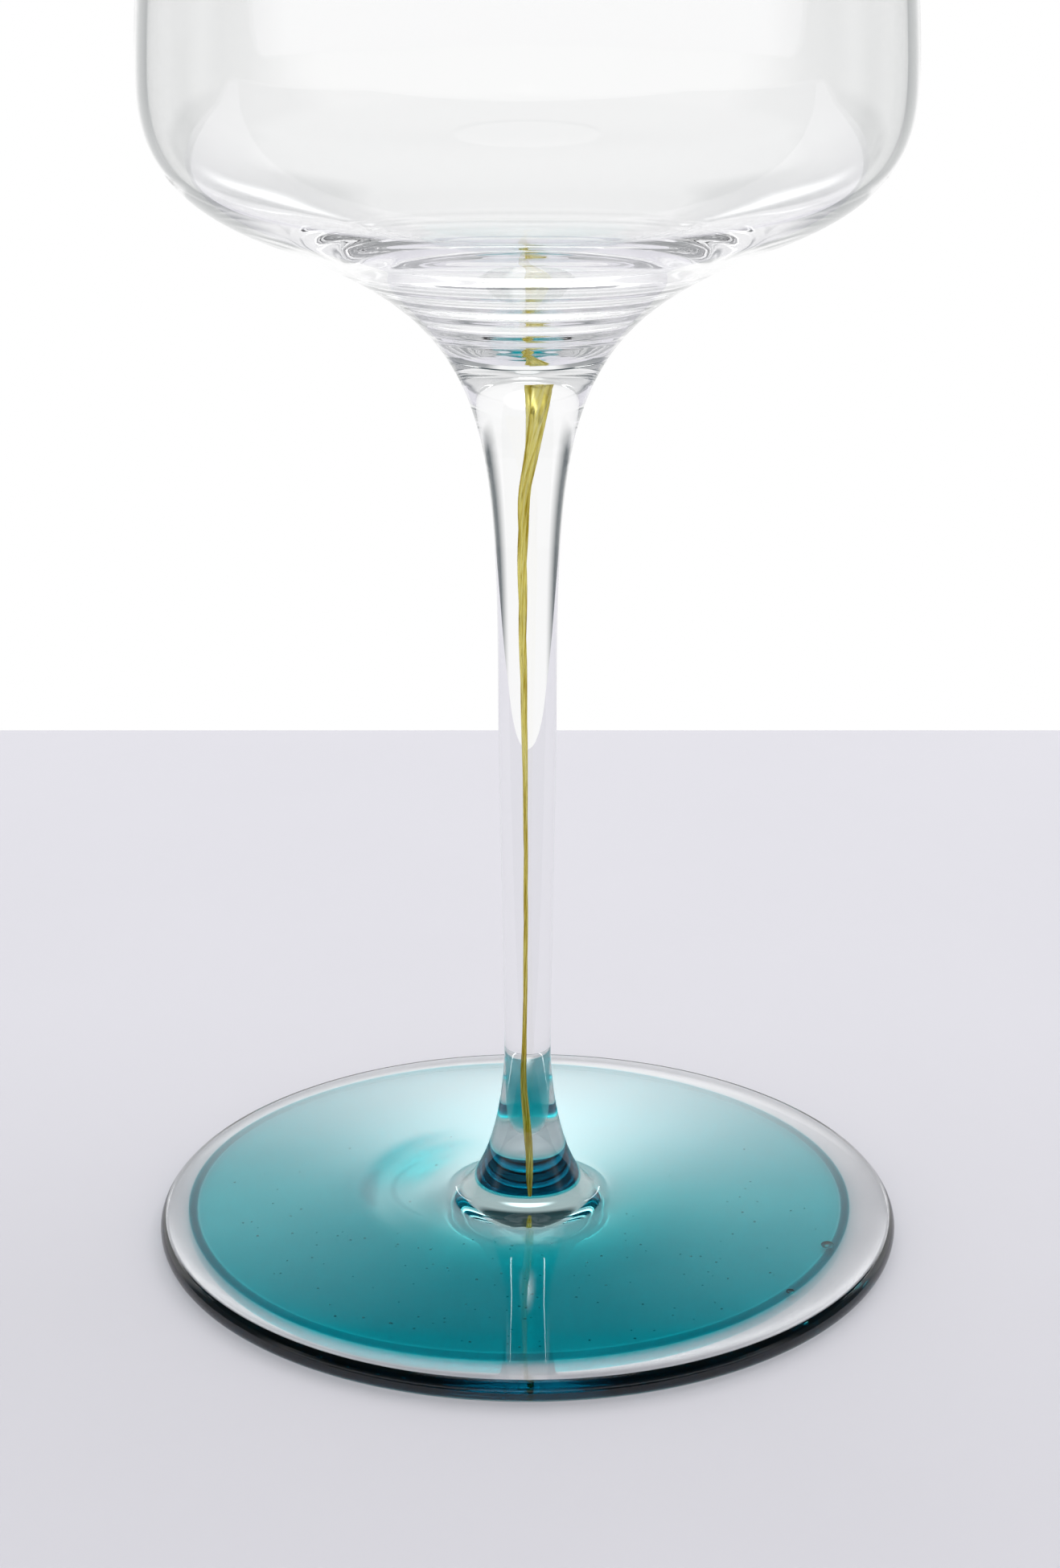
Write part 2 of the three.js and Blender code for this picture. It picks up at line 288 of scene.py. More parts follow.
class StageSettings(bpy.types.PropertyGroup):
    """Camera and light."""

    camera_distance: length("Camera distance", 297.05, "How far the camera is in front")
    camera_across: length("Camera across", 0.26, "How far the camera is to one side")
    camera_height: length("Camera height", 150.77, "How high the camera is")
    camera_tilt: angle("Camera tilt", 18.67, "How far the camera looks down")
    camera_lens: share("Lens", 68.86, "Focal length in millimetres on a 36 mm sensor")
    table_back: length("Table edge", 177.1, "How far the table reaches behind the glass")
    ambient: share("Ambient light", 0.68, "Even light on matt surfaces")
    under_glass: share(
        "Light under glass", 1.28, "Even light that reaches matt surfaces through glass"
    )
    top_light: share("Overhead light", 1.25, "Brightness of the overhead panel")
    glow: share("Back glow", 4.8, "Brightness of the soft glow behind the glass")
    glow_rise: angle("Glow height", 21.8, "How high the middle of the glow stands")
    glow_width: angle("Glow width", 16.0, "Half width of the glow")
    glow_height: angle("Glow spread", 6.8, "Half height of the glow")
    strip: share("Strip light", 5.5, "Brightness of the two narrow strips behind the glass")
    strip_width: angle("Strip width", 2.5, "Width of each narrow strip")
    drop_top: angle(
        "Backdrop top", 29.5, "How high the white backdrop reaches in a plain reflection"
    )
    flag_low: angle("Flag foot", 4.0, "Where the dark flag starts in the foot's image of the stem")
    flag_top: angle(
        "Flag top", 36.0, "How high the dark flag reaches in the foot's image of the stem"
    )
    flag_side: angle("Flag side", 62.0, "How far to each side the dark flag reaches")
    drop_top_foot: angle(
        "Backdrop top, foot", 35.0, "How high it reaches in light turned round in the foot"
    )
    ceiling: share("Ceiling in gloss", 0.03, "Brightness above the backdrop after a reflection")
    ceiling_glass: share(
        "Ceiling in glass", 0.95, "Brightness above the backdrop straight through glass"
    )
    gap_level: share("Gap level", 0.05, "Brightness of the low gap beside the backdrop")
    gap_top: angle("Gap top", 10.0, "How high the gap beside the backdrop reaches")
    deep_level: share(
        "Deep level", 0.3, "Brightness of light that was turned round many times in the glass"
    )
    shade_tone: colour("Shade tone", (0.012, 0.035, 0.04), "Tone of the dark parts of the studio")
    deep_glow: share("Deep glow", 2.4, "Brightness of light that crossed the teal disc many times")
    front_gloss: share(
        "Front gloss", 0.08, "Brightness high on the camera side in a plain reflection"
    )
    inside_level: share("Inside level", 0.5, "Brightness of light that crossed the teal disc twice")
    edge_top: angle("Edge top", 2.0, "Below which height light turned back in a thin wall is dim")
    edge_side: angle(
        "Edge side", 15.0, "Beyond which bearing light turned back in a thin wall is dim"
    )
    edge_level: share("Edge level", 0.3, "Brightness of light turned back in a thin wall")
    wing_top: angle("Wing top", 32.0, "How high the dark wings beside the glass reach")
    wing_dark: share("Wing dark", 0.9, "How dark the wings beside the glass are")
    side_level: share("Side level", 0.7, "Brightness straight to the sides, seen in the glass")
    front_level: share("Front level", 0.85, "Brightness on the camera side, seen in the glass")


class ChampagneGlass(bpy.types.PropertyGroup):
    """All settings of the glass."""

    foot: bpy.props.PointerProperty(type=FootSizes)
    stem: bpy.props.PointerProperty(type=StemSizes)
    bowl: bpy.props.PointerProperty(type=BowlSizes)
    disc: bpy.props.PointerProperty(type=DiscSizes)
    thread: bpy.props.PointerProperty(type=ThreadSizes)
    finish: bpy.props.PointerProperty(type=Finishes)
    stage: bpy.props.PointerProperty(type=StageSettings)


# Profile curves: arrays of (radius, height) points.


def heading(radians):
    """Unit vector in the profile plane, turned up from level by an angle."""
    return np.array([math.cos(radians), math.sin(radians)])


UPWARD = heading(math.pi / 2)


def curve(start, leave, leave_pull, end, arrive, arrive_pull, steps):
    """Cubic between two points: it leaves the first along one heading and comes into
    the second along another, with control points one pull away from each."""
    t = np.linspace(0.0, 1.0, steps + 1)[:, None]
    first = start + leave * leave_pull
    second = end - arrive * arrive_pull
    near = (1 - t) ** 3 * start + 3 * (1 - t) ** 2 * t * first
    return near + 3 * (1 - t) * t**2 * second + t**3 * end


def arc(centre, reach, rise, begin, finish, steps):
    """Part of an ellipse: centre plus (reach cos a, rise sin a) from one angle to another."""
    a = np.linspace(begin, finish, steps + 1)
    return np.array(centre) + np.stack([reach * np.cos(a), rise * np.sin(a)], 1)


def crossing(profile, height):
    """The point where a rising profile passes a height."""
    return np.array([np.interp(height, profile[:, 1], profile[:, 0]), height])


def below(profile, height):
    """The part of a rising profile under a height, ending exactly on it."""
    return np.vstack([profile[profile[:, 1] < height - 1e-6], crossing(profile, height)])


def above(profile, height):
    """The part of a rising profile over a height, starting exactly on it."""
    return np.vstack([crossing(profile, height), profile[profile[:, 1] > height + 1e-6]])


def cove_profile(glass):
    """Crown of the foot and the cove that rises from it into the stem."""
    foot, stem = glass.foot, glass.stem
    edge = np.array([foot.radius - foot.edge_depth, foot.edge_thickness])
    rise = np.array([foot.cove_radius, foot.crown_height])
    fall, inward = heading(math.pi - foot.crown_fall), heading(math.pi - foot.crown_level)
    crown = curve(edge, fall, foot.crown_pull_edge, rise, inward, foot.crown_pull_cove, steps=50)
    waist = np.array([stem.waist_radius, stem.waist_height])
    cove = curve(rise, inward, foot.cove_pull_foot, waist, UPWARD, foot.cove_pull_stem, steps=90)
    return crown, cove


def stem_profile(glass):
    """Shaft from the waist to the neck, and the flare from the neck to the bowl's turn."""
    stem, bowl = glass.stem, glass.bowl
    waist = np.array([stem.waist_radius, stem.waist_height])
    neck = np.array([stem.neck_radius, stem.neck_height])
    turn = np.array([bowl.turn_radius, bowl.turn_height])
    shaft = curve(waist, UPWARD, stem.pull, neck, UPWARD, stem.pull, steps=40)
    flare = curve(
        neck, UPWARD, stem.flare_pull_stem,
        turn, heading(bowl.turn_angle), stem.flare_pull_turn, steps=150,
    )
    return shaft, flare


def blown_rings(path, bowl):
    """Push of the cavity wall along its normal where the blowing left rings: a sine of the length
    along the path, faded in after the first radius and out before the last."""
    steps = np.diff(path, axis=0)
    along = np.concatenate([[0.0], np.cumsum(np.hypot(steps[:, 0], steps[:, 1]))])
    slope = np.gradient(path, axis=0)
    normal = np.stack([-slope[:, 1], slope[:, 0]], 1) / np.hypot(slope[:, 0], slope[:, 1])[:, None]
    begin = np.clip((path[:, 0] - bowl.ring_start) / (2 * MM), 0.0, 1.0)
    end = np.clip((bowl.ring_end - path[:, 0]) / (3 * MM), 0.0, 1.0)
    wave = bowl.ring_height * np.sin(2 * math.pi * along / bowl.ring_spacing) * begin * end
    return wave[:, None] * normal


def bowl_profile(glass):
    """Outside of the bowl from the turn to the lip, and the inside back down to the floor."""
    bowl, stem = glass.bowl, glass.stem
    at_turn, at_rim = heading(bowl.turn_angle), heading(math.pi / 2 + bowl.rim_lean)
    turn = np.array([bowl.turn_radius, bowl.turn_height])
    belly = np.array([bowl.belly_radius, bowl.belly_height])
    lip = bowl.rim_wall / 2
    rim = np.array([bowl.rim_radius, bowl.height - lip])
    shoulder = curve(
        turn, at_turn, bowl.shoulder_pull_turn, belly, UPWARD, bowl.shoulder_pull_belly, steps=56
    )
    wall = curve(belly, UPWARD, bowl.wall_pull_belly, rim, at_rim, bowl.wall_pull_rim, steps=36)
    edge = arc(rim - (lip, 0.0), lip, lip, 0.0, math.pi, steps=8)
    inner_turn = turn + bowl.turn_wall * heading(bowl.turn_angle + math.pi / 2)
    inner_belly = belly - (bowl.belly_wall, 0.0)
    inner_wall = curve(
        inner_belly, UPWARD, bowl.wall_pull_belly, edge[-1], at_rim, bowl.wall_pull_rim, steps=36
    )
    inner_shoulder = curve(
        inner_turn, at_turn, bowl.shoulder_pull_turn,
        inner_belly, UPWARD, bowl.shoulder_pull_belly, steps=56,
    )
    floor = np.array([0.0, stem.seam_height + bowl.base_thickness])
    funnel = curve(
        floor, heading(0.0), bowl.funnel_pull_floor,
        inner_turn, at_turn, bowl.funnel_pull_turn, steps=160,
    )
    funnel = funnel + blown_rings(funnel, bowl)
    outside = np.vstack([shoulder[1:], wall[1:], edge[1:]])
    inside = np.vstack([funnel[:-1], inner_shoulder[:-1], inner_wall[:-1]])[::-1]
    return outside, inside


# Surfaces: each gives its vertices, its quads and its triangles.


def full_turn(steps):
    """Even angles round a full turn."""
    return np.linspace(0.0, 2 * math.pi, steps, endpoint=False)


def polar(reach, turn, level, across=0.0, back=0.0):
    """Points at a reach and a turn round an upright line, at a level."""
    x, y = across + reach * np.cos(turn), back + reach * np.sin(turn)
    return np.stack(np.broadcast_arrays(x, y, level), -1)


def closed_grid(grid, poles):
    """Joins rings of equal length into a tube and closes each end with a fan to a pole."""
    rings, sides = grid.shape[:2]
    index = 2 + np.arange(rings * sides).reshape(rings, sides)
    ahead = np.roll(index, -1, axis=1)
    quads = np.stack([index[:-1], ahead[:-1], ahead[1:], index[1:]], -1).reshape(-1, 4)
    first = np.stack([np.zeros(sides, int), ahead[0], index[0]], -1)
    last = np.stack([np.ones(sides, int), index[-1], ahead[-1]], -1)
    vertices = np.vstack([poles, grid.reshape(-1, 3)])
    return vertices, quads, np.vstack([first, last])


def turned(profile):
    """Surface of revolution: point (r, z) of the profile at angle t goes to
    (r cos t, r sin t, z). Its first and last points lie on the axis and become one
    vertex each."""
    rings = profile[1:-1]
    grid = polar(rings[:, :1], full_turn(SIDES), rings[:, 1:])
    return closed_grid(grid, polar(0.0, 0.0, profile[[0, -1], 1]))


def swirl(vertices, foot):
    """Step in the foot's top where a last fold of glass froze beside the stem: the height times two
    rounds about a point, each flat inside and closing over a narrow band at its edge, strongest on
    the side away from the stem, on the upper surface only."""
    across, along = vertices[:, 0] - foot.swirl_across, vertices[:, 1] - foot.swirl_back
    reach = np.hypot(across, SWIRL_DEPTH * along)
    inner = 1 / (1 + np.exp((reach - foot.swirl_radius) / foot.swirl_edge))
    outer = 1 / (1 + np.exp((reach - foot.swirl_radius - SWIRL_STEP) / foot.swirl_edge))
    turn = np.arctan2(along, across)
    facing = np.clip(-np.cos(turn + SWIRL_TURN), 0.0, 1.0) ** 0.7
    upper = vertices[:, 2] > foot.split_height + 0.5 * MM
    from_axis = np.hypot(vertices[:, 0], vertices[:, 1])
    clear_of_cove = np.clip((from_axis - foot.cove_radius) / (2 * MM), 0.0, 1.0)
    step = SWIRL_INNER_SHARE * inner * facing + outer * facing**3
    return foot.swirl_height * step * upper * clear_of_cove


def spheres(centres, radii, rings, sides):
    """Balls at given centres: the unit ball (cos e cos t, cos e sin t, sin e) on a grid of
    elevation and turn, times each radius, plus each centre."""
    e = np.linspace(-math.pi / 2, math.pi / 2, rings + 2)[1:-1, None]
    grid = polar(np.cos(e), full_turn(sides), np.sin(e))
    ball, quads, triangles = closed_grid(grid, polar(0.0, 0.0, np.array([-1.0, 1.0])))
    vertices = centres[:, None, :] + radii[:, None, None] * ball[None]
    step = (np.arange(len(centres)) * len(ball))[:, None, None]
    return (
        vertices.reshape(-1, 3),
        (quads[None] + step).reshape(-1, 4),
        (triangles[None] + step).reshape(-1, 3),
    )


def outline(t):
    """Share of the radius at turn t: a circle that wanders a little, as poured glass does."""
    return 1 + 0.004 * np.sin(3 * t + 0.6) + 0.003 * np.sin(5 * t)


def crescent(reach, t, place):
    """A bell over reach times a bell over turn."""
    middle, width, turn, spread = place
    return np.exp(-(((reach - middle * MM) / (width * MM)) ** 2) - ((t - turn) / spread) ** 2)


def unevenness(disc, reach, t):
    """How thick the colour lies: a little thinner to both sides and thicker to the front and back,
    the slow waves and fine streaks of poured colour, and a thick and a thin crescent beside the
    stem."""
    out = reach / disc.radius
    back = np.clip(np.sin(t), 0.0, 1.0) * out
    front = np.clip(-np.sin(t), 0.0, 1.0) * out
    sides = 1 - 0.12 * np.cos(2 * t) * out + 0.9 * back + 1.1 * front
    waves = sides + 0.05 * np.sin(3 * t + 9 * out)
    thick, thin = crescent(reach, t, THICK_CRESCENT), crescent(reach, t, THIN_CRESCENT)
    streaks = 0.07 * np.sin(17 * t + 5 * out) + 0.06 * np.sin(29 * t - 11 * out)
    return waves + 0.3 * thick - 0.45 * thin + streaks * out * (1.3 - out)


def teal_disc_surface(disc):
    """A lens-thin disc on a grid of reach s and turn t: both faces lie at the radius times s,
    the low face is flat, and the high face stands above it by a thickness that is uneven inside,
    fades out under the stem and closes round at s = 1."""
    s = (np.linspace(0.0, 1.0, 161)[1:] ** 0.8)[:, None]
    t = full_turn(DISC_SIDES)
    reach = disc.radius * outline(t) * s
    inward = disc.radius * (1 - s)
    closing = np.sqrt(1 - np.clip(1 - inward / disc.edge_round, 0.0, 1.0) ** 2)
    away = np.clip((disc.radius * s - disc.clear_centre) / disc.clear_fade, 0.0, 1.0)
    filled = CLEAR_FILM + (1 - CLEAR_FILM) * away**2 * (3 - 2 * away)
    height = disc.thickness * unevenness(disc, reach, t) * filled * closing
    face = np.stack([
        disc.shift + reach * np.cos(t),
        disc.shift_back * s + disc.squash * reach * np.sin(t),
        np.full_like(reach, disc.low),
    ], -1)
    lifted = face.copy()
    lifted[..., 2] += height
    grid = np.concatenate([face, lifted[::-1][1:]])
    middle = disc.low + height[0].mean()
    poles = np.array([[disc.shift, 0.0, disc.low], [disc.shift, 0.0, middle]])
    return closed_grid(grid, poles)


def bead_surface(disc):
    """A ring round the disc: at turn t and section angle v the surface lies at the disc's outline
    plus the gap and half the width times (1 + cos v), at the bead's level plus half its height
    times sin v."""
    t, v = full_turn(DISC_SIDES)[:, None], full_turn(16)
    reach = disc.radius * outline(t) + disc.bead_gap + disc.bead_width / 2 * (1 + np.cos(v))
    vertices = np.stack([
        disc.shift + reach * np.cos(t),
        disc.shift_back + disc.squash * reach * np.sin(t),
        disc.bead_level + disc.bead_height / 2 * np.sin(v) + 0 * t,
    ], -1)
    index = np.arange(t.size * v.size).reshape(t.size, v.size)
    beyond, higher = np.roll(index, -1, 0), np.roll(index, -1, 1)
    quads = np.stack([index, beyond, np.roll(beyond, -1, 1), higher], -1)
    return vertices.reshape(-1, 3), quads.reshape(-1, 4), np.empty((0, 3), int)


def fold_surface(foot, level, radius, start, end, width, height):
    """A tapering roll of colour along an arc round the swirl: at share u of the arc and section
    angle v the surface lies at the arc's point plus the root of sin(pi u) times half the width
    times cos v outwards and half the height times the cube of sin v upwards, so that its edges
    are thin. Both ends close in a point."""
    u = np.linspace(0.0, 1.0, 62)[1:-1, None]
    v = np.linspace(2 * math.pi, 0.0, 14, endpoint=False)
    turn = np.radians(start + (end - start) * u)
    taper = np.sqrt(np.sin(math.pi * u))
    reach = (radius + width / 2 * taper * np.cos(v)) * MM
    lift = height / 2 * taper * np.sin(v) ** 3 * MM
    middle = foot.swirl_across, foot.swirl_back
    poles = polar(radius * MM, np.radians([start, end]), level, *middle)
    return closed_grid(polar(reach, turn, level + lift, *middle), poles)


def smooth(x, stations, values):
    """Values between stations on a smooth blend: the cubic through both ends of a span with the
    slopes of the values there."""
    i = np.clip(np.searchsorted(stations, x) - 1, 0, len(stations) - 2)
    slope = np.gradient(values, stations)
    span = stations[i + 1] - stations[i]
    u = np.clip((x - stations[i]) / span, 0.0, 1.0)
    a, b = values[i], values[i + 1]
    rise = (u**3 - 2 * u**2 + u) * span * slope[i] + (u**3 - u**2) * span * slope[i + 1]
    return (2 * u**3 - 3 * u**2 + 1) * a + (3 * u**2 - 2 * u**3) * b + rise


def thread_surface(thread):
    """A twisted bundle along a gently bowed path: at height z and turn v the surface lies at the
    path's point plus, in the level direction v, the radius at z times 1 and two waves of v, one for
    the strands, which turns with the twist, and one that flattens the bundle. Returns the surface
    and a map of turn and height for the streaks."""
    stations, bow, widths = THREAD_STATIONS.T
    height = thread.low + (thread.high - thread.low) * np.linspace(0.0, 1.0, 260)
    at = height / MM
    centre = smooth(at, stations, bow) * MM
    depth = THREAD_BACK_BOW * np.sin(at / THREAD_WANDER) * MM
    radius = smooth(at, stations, widths) * thread.head_radius
    v, twist = full_turn(40), (at / THREAD_TWIST)[:, None]
    strands = STRAND_LOBE * np.cos(thread.strands * (v - twist))
    lobes = 1 + strands + FLAT_LOBE * np.cos(2 * (v + 0.6 * twist))
    path = np.stack([centre, depth, height], 1)
    across, back, level = path.T[..., None]
    grid = polar(radius[:, None] * lobes, v, level, across, back)
    poles = path[[0, -1]] - THREAD_TIPS
    turn = (v - twist) / (2 * math.pi)
    rise = np.repeat((at / 10.0)[:, None], len(v), 1)
    ends = np.array([[0.0, at[0] / 10.0], [0.0, at[-1] / 10.0]])
    along = np.vstack([ends, np.stack([turn, rise], -1).reshape(-1, 2)])
    return closed_grid(grid, poles), along


# Pieces.


def new_piece(name, surface, materials, nodes=(), crease=SOFT_CREASE):
    """Puts a surface into a mesh object that rides on the glass."""
    vertices, quads, triangles = surface
    mesh = bpy.data.meshes.new(name)
    mesh.from_pydata(vertices.tolist(), [], quads.tolist() + triangles.tolist())
    mesh.polygons.foreach_set("use_smooth", np.ones(len(mesh.polygons), bool))
    mesh.set_sharp_from_angle(angle=math.radians(crease))
    for material in materials:
        mesh.materials.append(material)
    mesh.validate()
    piece = bpy.data.objects.new(name, mesh)
    bpy.context.scene.collection.objects.link(piece)
    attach(piece, "root")
    if nodes:
        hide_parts(*nodes)
    return piece


def set_joint_faces(mesh, heights):
    """Gives the flat faces that lie on a fused joint the second material."""
    corners = np.empty(len(mesh.vertices) * 3)
    mesh.vertices.foreach_get("co", corners)
    level = corners.reshape(-1, 3)[:, 2]
    starts = np.empty(len(mesh.polygons), int)
    owners = np.empty(len(mesh.loops), int)
    mesh.polygons.foreach_get("loop_start", starts)
    mesh.loops.foreach_get("vertex_index", owners)
    lowest = np.minimum.reduceat(level[owners], starts)
    highest = np.maximum.reduceat(level[owners], starts)
    on_joint = np.zeros(len(starts), bool)
    for height in heights:
        off = np.maximum(abs(lowest - height), abs(highest - height))
        on_joint |= off < JOINT_TOLERANCE
    mesh.polygons.foreach_set("material_index", on_joint.astype(int))
    mesh.update()


def clear_piece(glass, name, surface, node, joints):
    """A clear piece that stands for a node, see-through at the heights of its fused joints."""
    materials = [
        bpy.data.materials.get("clear_crystal") or clear_glass(glass.finish),
        bpy.data.materials.get("fused_joint") or fused_joint(),
    ]
    piece = new_piece(name, surface, materials, [node], CLEAR_CREASE)
    set_joint_faces(piece.data, joints)


# Nodes.


def new_material(name):
    """An empty node material and its tree."""
    material = bpy.data.materials.new(name)
    material.use_nodes = True
    material.node_tree.nodes.clear()
    return material, material.node_tree


def add(tree, kind, inputs=None, **settings):
    """The outputs of a new node; each of its inputs is a value or another node's output."""
    node = tree.nodes.new("ShaderNode" + kind)
    for key, value in settings.items():
        setattr(node, key, value)
    for key, value in (inputs or {}).items():
        if isinstance(value, bpy.types.NodeSocket):
            tree.links.new(value, node.inputs[key])
        else:
            node.inputs[key].default_value = value
    return node.outputs


def maths(tree, operation, first, second=0.0):
    """A maths node on two values, each a number or an output."""
    return add(tree, "Math", {0: first, 1: second}, operation=operation)[0]


def product(tree, *values):
    """The product of several values, each a number or an output."""
    return functools.reduce(functools.partial(maths, tree, "MULTIPLY"), values)


def between(tree, value, low, high):
    """1 where a value lies between two limits, and 0 elsewhere."""
    above_low = maths(tree, "GREATER_THAN", value, low)
    return product(tree, above_low, maths(tree, "LESS_THAN", value, high))


def mixed(tree, part, first, second):
    """A shader that goes from a first to a second one as a part goes from 0 to 1."""
    return add(tree, "MixShader", {"Fac": part, 1: first, 2: second})[0]


def tones(tree, value, stops):
    """A colour that follows a value through a list of places and colours."""
    output = add(tree, "ValToRGB", {"Fac": value})[0]
    elements = output.node.color_ramp.elements
    for place, rgb in stops[2:]:
        elements.new(place)
    for element, (place, rgb) in zip(elements, stops):
        element.position = place
        element.color = (*rgb, 1.0)
    return output


def noise(tree, place, scale, detail, roughness):
    """Soft noise over a place."""
    inputs = {"Vector": place, "Scale": scale, "Detail": detail, "Roughness": roughness}
    return add(tree, "TexNoise", inputs)["Fac"]


def clouds(tree, scale, detail, roughness):
    """Soft noise on Object coordinates."""
    return noise(tree, add(tree, "TexCoord")["Object"], scale, detail, roughness)


# Materials.


def glass_surface(tree, bend, tint, roughness=0.0, through=1.0, **more):
    """Glass that bends light by an index of refraction."""
    inputs = {"Base Color": tint, "Roughness": roughness, "IOR": bend}
    return add(tree, "BsdfPrincipled", {**inputs, "Transmission Weight": through, **more})[0]


def blown_glass(name, bend, tint, roughness, scale):
    """Glass with faint waves on its face: soft noise as a bump."""
    material, tree = new_material(name)
    height = clouds(tree, scale, detail=2.0, roughness=0.4)
    waves = add(tree, "Bump", {"Strength": 1.0, "Distance": RIPPLE_DEPTH, "Height": height})[0]
    surface = glass_surface(tree, bend, (*tint, 1.0), roughness, Normal=waves)
    add(tree, "OutputMaterial", {"Surface": surface})
    return material


def clear_glass(finish):
    """Clear crystal with faint waves."""
    return blown_glass("clear_crystal", CRYSTAL_BEND, finish.clear, roughness=0.0, scale=55.0)


def trapped_air():
    """Tiny bubbles in glass: light bends the other way."""
    return blown_glass("trapped_air", AIR_BEND, AIR_TINT, roughness=0.02, scale=900.0)


def fused_joint():
    """Face between two pieces that are fused: it lets everything through."""
    material, tree = new_material("fused_joint")
    add(tree, "OutputMaterial", {"Surface": add(tree, "BsdfTransparent")[0]})
    return material


def teal_glass(finish, name, density):
    """Teal glass fused into clear glass: its faces bend nothing, its body absorbs."""
    material, tree = new_material(name)
    cloud = clouds(tree, scale=70.0, detail=4.0, roughness=0.55)
    tint = tones(tree, cloud, [(0.3, finish.teal_cloud), (0.7, WHITE)])
    surface = glass_surface(tree, FUSED_BEND, tint)
    body = add(tree, "VolumeAbsorption", {"Color": (*finish.teal, 1.0), "Density": density})[0]
    add(tree, "OutputMaterial", {"Surface": surface, "Volume": body})
    return material


def ochre_glass(finish):
    """Ochre glass drawn into a twist: lengthwise streaks of its own ochre and dark ochre, deeper
    lower down, with pale ochre streaks as painted highlights on the strands.
    """
    material, tree = new_material("ochre_drawn")
    grain = add(tree, "UVMap", uv_map="along")[0]
    stretched = add(tree, "Mapping", {"Vector": grain, "Scale": (9.0, 1.2, 1.0)})[0]
    streak = noise(tree, stretched, scale=1.0, detail=3.0, roughness=0.6)
    height = add(tree, "SeparateXYZ", {"Vector": grain})["Y"]
    lift = add(tree, "Math", {0: height, 1: 0.018, 2: -0.14}, operation="MULTIPLY_ADD")[0]
    # The pale stop paints highlights along the strands.
    stops = [(0.35, finish.ochre_dark), (0.5, finish.ochre), (0.62, finish.ochre_painted_highlight)]
    tint = tones(tree, maths(tree, "ADD", streak, lift), stops)
    surface = glass_surface(tree, OCHRE_BEND, tint, roughness=0.12, through=0.55)
    add(tree, "OutputMaterial", {"Surface": surface})
    return material


def table_top(finish):
    """Matt pale table with a faint cloudiness. In front of the glass it is painted dark where a
    plain reflection sees it: a painted dark reflection in the glass.
    """
    material, tree = new_material("table_top")
    stops = [(0.3, [c * TABLE_CLOUD for c in finish.table]), (0.7, finish.table)]
    pale = tones(tree, clouds(tree, scale=14.0, detail=5.0, roughness=0.6), stops)
    inputs = {"Base Color": pale, "Roughness": 0.75, "Specular IOR Level": 0.15}
    matt = add(tree, "BsdfPrincipled", inputs)[0]
    # Painted dark reflection: a near-black teal diffuse for the table's front as plain gloss sees
    # it.
    dark = add(tree, "BsdfDiffuse", {"Color": (*finish.table_painted_reflection, 1.0)})[0]
    place = add(tree, "SeparateXYZ", {"Vector": add(tree, "TexCoord")["Object"]})
    ahead = maths(tree, "LESS_THAN", place["Y"], TABLE_FRONT)
    path = add(tree, "LightPath")
    outside = maths(tree, "LESS_THAN", path["Transmission Depth"], NO_FACE)
    # Mask of the painted dark reflection: glossy rays that crossed no glass, in front of the glass.
    in_front = product(tree, path["Is Glossy Ray"], outside, ahead)
    add(tree, "OutputMaterial", {"Surface": mixed(tree, in_front, matt, dark)})
    return material


# Table, light and camera.


def lay_table(scene, glass):
    """A wide flat top that ends in a straight edge behind the glass."""
    side, back = TABLE_SIDE, glass.stage.table_back
    corners = [(-side, -side), (side, -side), (side, back), (-side, back)]
    mesh = bpy.data.meshes.new("table")
    mesh.from_pydata([(x, y, -TABLE_GAP) for x, y in corners], [], [(0, 1, 2, 3)])
    mesh.materials.append(table_top(glass.finish))
    table = bpy.data.objects.new("table", mesh)
    scene.collection.objects.link(table)


def hang_panel(scene, strength):
    """A soft panel of light overhead; strength is the brightness of its face."""
    lamp = bpy.data.lights.new("panel_top", "AREA")
    lamp.shape = "RECTANGLE"
    lamp.size = lamp.size_y = PANEL_SIZE
    lamp.energy = strength * math.pi * PANEL_SIZE * PANEL_SIZE
    panel = bpy.data.objects.new("panel_top", lamp)
    panel.location = PANEL_PLACE
    panel.rotation_euler = PANEL_TURN
    panel.visible_camera = False
    panel.visible_glossy = False
    panel.visible_transmission = False
    scene.collection.objects.link(panel)


def hang_glow(scene, stage):
    """A soft patch of light behind the glass that only gloss and glass show: its brightness
    falls from the middle to nothing at the edge of an ellipse."""
    material, tree = new_material("glow")
    place = add(tree, "UVMap", uv_map="patch")[0]
    fall = add(tree, "TexGradient", {"Vector": place}, gradient_type="QUADRATIC_SPHERE")["Fac"]
    strength = product(tree, fall, stage.glow)
    light = add(tree, "Emission", {"Color": (*WHITE, 1.0), "Strength": strength})[0]
    both = add(tree, "AddShader", {0: light, 1: add(tree, "BsdfTransparent")[0]})[0]
    add(tree, "OutputMaterial", {"Surface": both})
    back, up = math.cos(stage.glow_rise), math.sin(stage.glow_rise)
    middle = SHEET_DISTANCE * np.array([0.0, back, up])
    across = SHEET_DISTANCE * math.tan(stage.glow_width) * np.array([1.0, 0.0, 0.0])
    rise = SHEET_DISTANCE * math.tan(stage.glow_height) * np.array([0.0, -up, back])
    patch = np.array([(-1, -1), (1, -1), (1, 1), (-1, 1)], float)
    corners = middle + patch[:, :1] * across + patch[:, 1:] * rise
    hang_sheet(scene, "glow", corners, patch, material)


